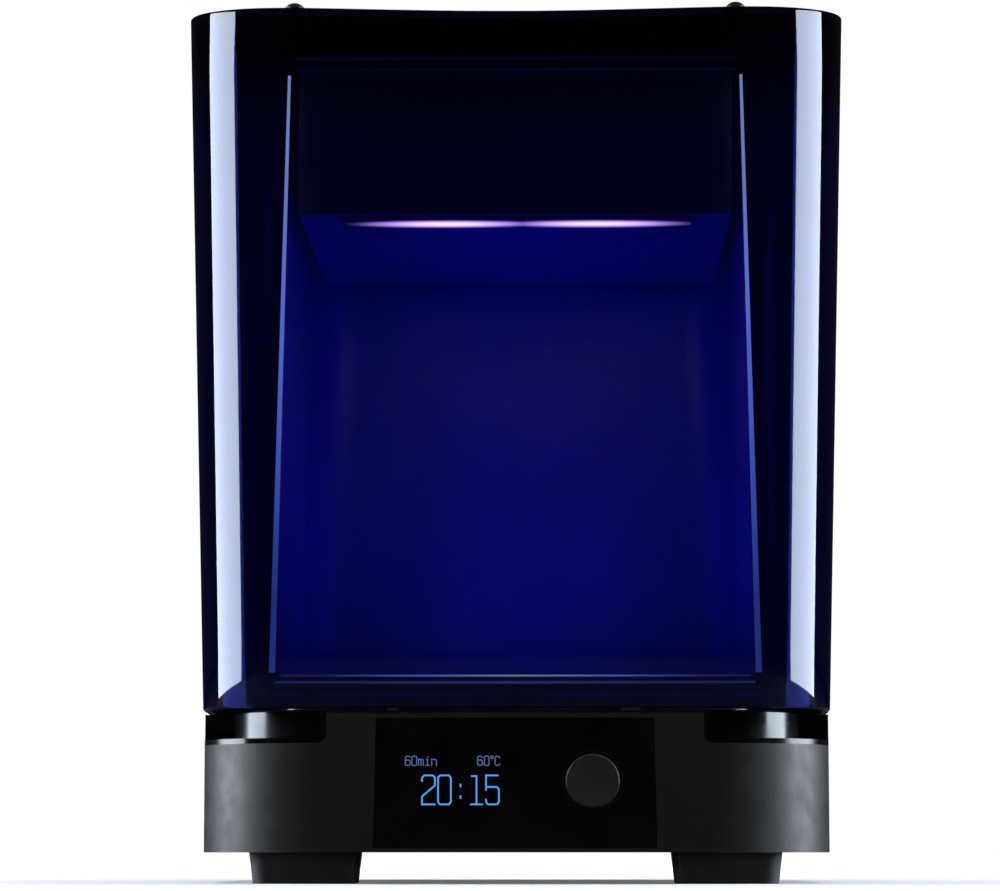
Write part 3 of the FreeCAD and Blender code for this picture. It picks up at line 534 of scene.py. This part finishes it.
def make_hood():
    vertices, faces = skin_over(hood_rings())
    hood = make_piece("hood_moulding", vertices, faces, LOOKS["tinted_hood"], "lid")
    cut(hood, hood_openings())
    mark_sharp(hood.data, 32)
    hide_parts("hood_shell")


# ---- painted highlights along the window's edges: glowing beads ----
EDGE_LOW, EDGE_HIGH = 81 * MM, 314 * MM      # heights at which the side edges start and end
BEAD_HEIGHT = 0.5 * MM
BEAD_GAP = 0.05 * MM                         # space between the beads and the window frame's front
BEAD_STEPS = 24
BEAD_ARC = 8


def window_half(z):
    """Half the window's width at a height."""
    share = (z - WINDOW_BOTTOM) / (WINDOW_TOP - WINDOW_BOTTOM)
    return WINDOW_BOTTOM_HALF + (WINDOW_TOP_HALF - WINDOW_BOTTOM_HALF) * share


def bead(name, path, widths, y, look):
    """A half-round bead on the plane y, between two (x, z) points, as wide at each end as widths says."""
    start, end = Vector(path[0]), Vector(path[1])
    along = (end - start).normalized()
    side = Vector((-along.y, along.x))
    vertices = []
    faces = []
    for step in range(BEAD_STEPS + 1):
        share = step / BEAD_STEPS
        centre = start.lerp(end, share)
        radius = (widths[0] + (widths[1] - widths[0]) * share) / 2
        for turn in range(BEAD_ARC + 1):
            angle = math.pi * turn / BEAD_ARC
            place = centre + side * radius * math.cos(angle)
            vertices.append((place.x, y - BEAD_HEIGHT * math.sin(angle), place.y))
    row = BEAD_ARC + 1
    for step in range(BEAD_STEPS):
        for turn in range(BEAD_ARC):
            corner = step * row + turn
            faces.append((corner, corner + 1, corner + row + 1, corner + row))
        corner = step * row
        faces.append((corner, corner + row, corner + row + BEAD_ARC, corner + BEAD_ARC))
    faces.append(tuple(range(BEAD_ARC, -1, -1)))
    faces.append(tuple(BEAD_STEPS * row + turn for turn in range(row)))
    return make_piece(name, vertices, faces, look, "lid")


def make_window_edges():
    front = FRAME_FRONT - BEAD_GAP
    # Painted highlights: these beads glow to show the light seen along the window's edges, though they are no
    # lamps.
    side_painted_highlight = painted_highlight_look("painted_highlight_side", "Z", 300 * MM, 110 * MM, (0.17, 0.22, 0.50), (0.014, 0.028, 0.18))
    for sign, name in ((-1, "left"), (1, "right")):
        low = (sign * window_half(EDGE_LOW), EDGE_LOW)
        high = (sign * window_half(EDGE_HIGH), EDGE_HIGH)
        bead("window_edge_" + name, (low, high), (2.3 * MM, 1.1 * MM), front, side_painted_highlight)
    sill_painted_highlight = painted_highlight_look("painted_highlight_sill", "X", 0.0, 75 * MM, (0.12, 0.15, 0.32), (0.006, 0.010, 0.09))
    ledge_painted_highlight = painted_highlight_look("painted_highlight_ledge", "X", 0.0, 120 * MM, (0.016, 0.023, 0.14), (0.004, 0.008, 0.06))
    head_painted_highlight = painted_highlight_look("painted_highlight_head", "X", 0.0, 200 * MM, (0.0009, 0.0006, 0.018), (0.0005, 0.0004, 0.008))
    # Each row has its height, half length and width in millimetres.
    rows = (
        ("window_sill", 79.9, 90.0, 0.7, sill_painted_highlight),
        ("window_ledge", 77.4, 92.0, 0.9, ledge_painted_highlight),
        ("window_head", 316.2, 86.0, 1.2, head_painted_highlight),
        ("window_head_upper", 320.6, 86.0, 1.2, head_painted_highlight),
    )
    for name, z, half, width, look in rows:
        bead(name, ((-half * MM, z * MM), (half * MM, z * MM)), (width * MM, width * MM), front, look)


# ---- readout on the control panel ----
def chamfered(width, height, corner):
    """The outline of a box with its corners cut off."""
    return [(corner, 0), (width - corner, 0), (width, corner), (width, height - corner),
            (width - corner, height), (corner, height), (0, height - corner), (0, corner), (corner, 0)]


SIGN_RISE = 0.06 * MM         # how far the front of a sign stands out from the panel
SIGN_GAP = 0.01 * MM          # and its back
STROKE_REACH = 0.7            # how far an open stroke runs past its ends, in half widths
SHARPEST_MITRE = 0.5          # cosine at which a bend's mitre stops growing
DEGREE = "o"                  # the degree sign's key: half as wide as the others, at the top of the row

# Each sign is a list of strokes in a cell one unit wide and two units high.
SIGNS = {
    "0": [chamfered(1, 2, 0.16)],
    "1": [[(0.12, 1.95), (0.5, 1.95), (0.5, 0)], [(0.05, 0), (0.95, 0)]],
    "2": [[(0, 1.6), (0, 1.84), (0.16, 2), (0.84, 2), (1, 1.84), (1, 1.3), (0, 0.55), (0, 0), (1, 0)]],
    "5": [[(0.92, 2), (0, 2), (0, 1.0)],
          [(0, 1.2), (0.84, 1.2), (1, 1.04), (1, 0.16), (0.84, 0), (0.16, 0), (0, 0.16), (0, 0.34)]],
    "6": [[(1, 1.75), (0.75, 2), (0.25, 2), (0, 1.7), (0, 0.25), (0.25, 0), (0.75, 0), (1, 0.25), (1, 0.95),
           (0.75, 1.15), (0, 1.15)]],
    "C": [[(1, 1.6), (0.75, 2), (0.25, 2), (0, 1.7), (0, 0.3), (0.25, 0), (0.75, 0), (1, 0.4)]],
    "m": [[(0, 0), (0, 1.4)], [(0, 1.3), (0.5, 1.3), (0.5, 0)], [(0.5, 1.3), (0.85, 1.3), (1, 1.1), (1, 0)]],
    "i": [[(0.2, 1.3), (0.5, 1.3), (0.5, 0)], [(0.1, 0), (0.9, 0)], [(0.5, 1.75), (0.5, 1.95)]],
    "n": [[(0, 0), (0, 1.4)], [(0, 1.3), (0.75, 1.3), (1, 1.05), (1, 0)]],
    DEGREE: [chamfered(0.5, 0.5, 0.1)],
    ":": [[(0.5, 0.42), (0.5, 0.58)], [(0.5, 1.22), (0.5, 1.38)]],
}


def panel_front(x):
    """Y of the panel's bowed front at x."""
    return PANEL_FRONT + x * x / (2 * SIDE_BOW)


def stroke_bar(points, width, vertices, faces):
    """A thin closed bar along the points, mitred at each bend, that joins itself in a loop if they do."""
    half = width / 2
    looped = points[0] == points[-1]
    path = [Vector(point) for point in (points[:-1] if looped else points)]
    if not looped:
        path[0] -= (path[1] - path[0]).normalized() * half * STROKE_REACH
        path[-1] += (path[-1] - path[-2]).normalized() * half * STROKE_REACH
    count = len(path)
    first = len(vertices)
    for index, here in enumerate(path):
        directions = []
        if looped or index > 0:
            directions.append((here - path[index - 1]).normalized())
        if looped or index < count - 1:
            directions.append((path[(index + 1) % count] - here).normalized())
        turn = sum(directions, Vector((0, 0))).normalized()
        side = Vector((-turn.y, turn.x)) * half / max(turn.dot(directions[0]), SHARPEST_MITRE)
        for place, rise in ((here + side, SIGN_RISE), (here - side, SIGN_RISE),
                            (here - side, SIGN_GAP), (here + side, SIGN_GAP)):
            vertices.append((place.x, panel_front(place.x) - rise, place.y))
    for step in range(count if looped else count - 1):
        near = first + step * 4
        far = first + (step + 1) % count * 4
        for corner in range(4):
            after = (corner + 1) % 4
            faces.append((near + corner, near + after, far + after, far + corner))
    if not looped:
        last = first + (count - 1) * 4
        faces.append((first + 3, first + 2, first + 1, first))
        faces.append((last, last + 1, last + 2, last + 3))


def write_sign_row(name, text, left, bottom, cell, gap, width, look):
    """A row of signs as one mesh of thin bars, all its sizes in millimetres."""
    cell_width, cell_height = cell
    vertices = []
    faces = []
    x = left
    for sign in text:
        lift = 1.5 if sign == DEGREE else 0.0
        for stroke in SIGNS[sign]:
            points = [((x + across * cell_width) * MM, (bottom + (up + lift) * cell_height / 2) * MM)
                      for across, up in stroke]
            stroke_bar(points, width * MM, vertices, faces)
        x += cell_width * (0.5 if sign == DEGREE else 1.0) + gap
    make_piece(name, vertices, faces, look, "base", smooth=False)


def make_readout():
    bright = Look("readout_bright", (0.02, 0.05, 0.1), 0.4)
    bright.glow((0.10, 0.36, 0.90), 0.95)
    dim = Look("readout_dim", (0.02, 0.03, 0.08), 0.4)
    dim.glow((0.13, 0.20, 0.52), 0.75)
    write_sign_row("readout_clock", "20:15", -35.4, 30.2, (4.9, 11.0), gap=1.2, width=0.6, look=bright)
    small = {"bottom": 45.0, "cell": (1.8, 3.5), "gap": 0.72, "width": 0.32, "look": dim}
    write_sign_row("readout_minutes", "60min", -41.8, **small)
    write_sign_row("readout_heat", "60" + DEGREE + "C", -14.2, **small)


# ---- camera, lights and floor ----
CAMERA_PLACE = (17.4 * MM, -1631 * MM, 12 * MM)
CAMERA_TURN = 0.878           # degrees to the left of straight ahead
CAMERA_TILT = 5.894           # degrees above level
LENS = 141.9                  # millimetres
SENSOR = 36.0                 # the sensor's width in millimetres


def aim(thing, target):
    thing.rotation_euler = (Vector(target) - thing.location).to_track_quat("-Z", "Y").to_euler()


def make_camera():
    data = bpy.data.cameras.new("camera")
    data.lens = LENS
    data.sensor_width = SENSOR
    data.clip_start = 0.01
    data.clip_end = 60.0
    camera = bpy.data.objects.new("camera", data)
    bpy.context.scene.collection.objects.link(camera)
    camera.location = CAMERA_PLACE
    camera.rotation_euler = (math.radians(90 + CAMERA_TILT), 0, math.radians(CAMERA_TURN))
    bpy.context.scene.camera = camera


def softbox(name, place, target, width, height, power, colour=(1, 1, 1), mirrored=True):
    data = bpy.data.lights.new(name, "AREA")
    data.shape = "RECTANGLE"
    data.size = width
    data.size_y = height
    data.energy = power
    data.color = colour
    light = bpy.data.objects.new(name, data)
    bpy.context.scene.collection.objects.link(light)
    light.location = place
    aim(light, target)
    light.visible_camera = False
    light.visible_glossy = mirrored
    light.visible_transmission = mirrored
    return light


# The two tall softboxes, one each side, that the hood's front corners mirror.
SIDE_BEARING = 95             # degrees round from the camera's side
SIDE_DISTANCE = 0.9           # from the corner they stand beside
SIDE_HEIGHT = 0.30
SIDE_SIZE = (0.56, 0.84)
SIDE_POWER = 18.4
SIDE_LEAN = 12.0              # degrees that each one's top leans towards the camera
COOL_WHITE = (0.75, 0.86, 1.0)
LIT_CORNER = 100 * MM         # how far out each way the lit corner is


def make_lights():
    bearing = math.radians(SIDE_BEARING)
    height = Vector((0, 0, SIDE_HEIGHT))
    for side, name in ((-1, "left"), (1, "right")):
        corner = Vector((side * LIT_CORNER, -LIT_CORNER, 0))
        away = Vector((side * math.sin(bearing), -math.cos(bearing), 0))
        light = softbox(name + "_softbox", corner + away * SIDE_DISTANCE + height, corner + height,
                        *SIDE_SIZE, SIDE_POWER, COOL_WHITE)
        light.rotation_euler.rotate_axis("Z", math.radians(side * SIDE_LEAN))
    softbox("top_softbox", (0, 0.2, 2.2), (0, 0.2, 0), 2.4, 2.4, 42.0, mirrored=False)
    softbox("front_fill", (0, -2.4, 0.5), (0, 0, 0.1), 1.6, 1.0, 5.0, mirrored=False)
    under_lens = ((LENS_LOW.x + LENS_HIGH.x) / 2, -0.085, LENS_LOW.z - 2 * MM)
    lamp = softbox("chamber_glow", under_lens, (0, 0.06, 0.10), 100 * MM, 30 * MM,
                   0.85, (0.0, 0.004, 1.0), mirrored=False)
    lamp.parent = frame["bodies"]["lid"]
    floor_lamps = softbox("floor_glow", (0, 0, 86 * MM), (0, 0.02, 1), 70 * MM, 70 * MM,
                          1.75, (0.0, 0.008, 1.0), mirrored=False)
    floor_lamps.parent = frame["bodies"]["base"]


def make_world():
    """White to the eye, as a studio sweep is, and dim to everything that it would light or be mirrored in."""
    world = bpy.data.worlds.new("studio")
    world.use_nodes = True
    tree = world.node_tree
    background = tree.nodes["Background"]
    background.inputs["Strength"].default_value = 1.0
    ray = tree.nodes.new("ShaderNodeLightPath")
    mix = tree.nodes.new("ShaderNodeMix")
    mix.data_type = "RGBA"
    mix.inputs["A"].default_value = (0.010, 0.010, 0.011, 1.0)
    mix.inputs["B"].default_value = (1.0, 1.0, 1.0, 1.0)
    tree.links.new(ray.outputs["Is Camera Ray"], mix.inputs["Factor"])
    tree.links.new(mix.outputs["Result"], background.inputs["Color"])
    bpy.context.scene.world = world


FLOOR_EDGE = 12.0             # half the floor's width
FLOOR_GLOW_WITH_PAINTED_SHADOW = (0.12, 1.0)      # strength of the floor's own light near the object, kept low there as a painted shadow, and away from it
PAINTED_SHADOW_REACH = (0.30, 1.30)     # distances at which those hold; between them the painted shadow fades out


def make_floor():
    """The studio sweep: white to the eye, with the object's soft cast shadow on it and a painted shadow where
    its own light dims near the object, and dim in reflections.
    """
    look = Look("studio_floor", (0.80, 0.80, 0.80), 0.6)
    look.vary_roughness(0.55, 0.65, 3)
    look.set("Specular IOR Level", 0.0)
    look.set("Emission Color", (1.0, 1.0, 1.0, 1.0))
    ray = look.node("ShaderNodeLightPath").outputs["Is Camera Ray"]
    # Painted shadow: the floor's own light is dimmed near the object.
    reach = look.node("ShaderNodeVectorMath", operation="LENGTH")
    look.link(look.place, reach.inputs[0])
    glow_with_painted_shadow = look.span(reach.outputs["Value"], *PAINTED_SHADOW_REACH, *FLOOR_GLOW_WITH_PAINTED_SHADOW)
    seen = look.node("ShaderNodeMath", operation="MULTIPLY")
    look.link(ray, seen.inputs[0])
    look.link(glow_with_painted_shadow, seen.inputs[1])
    look.drive("Emission Strength", seen.outputs[0])
    look.drive("Base Color", look.ramp(ray, (0.06, 0.06, 0.06), (0.80, 0.80, 0.80), 0.0, 1.0))
    corners = [(-FLOOR_EDGE, -FLOOR_EDGE, 0), (FLOOR_EDGE, -FLOOR_EDGE, 0),
               (FLOOR_EDGE, FLOOR_EDGE, 0), (-FLOOR_EDGE, FLOOR_EDGE, 0)]
    mesh = bpy.data.meshes.new("studio_floor")
    mesh.from_pydata(corners, [], [(0, 1, 2, 3)])
    mesh.materials.append(look.material)
    floor = bpy.data.objects.new("studio_floor", mesh)
    bpy.context.scene.collection.objects.link(floor)


dress_cad_nodes()
make_hood()
make_window_edges()
make_readout()
make_camera()
make_lights()
make_world()
make_floor()
bpy.context.scene.view_settings.view_transform = "Standard"
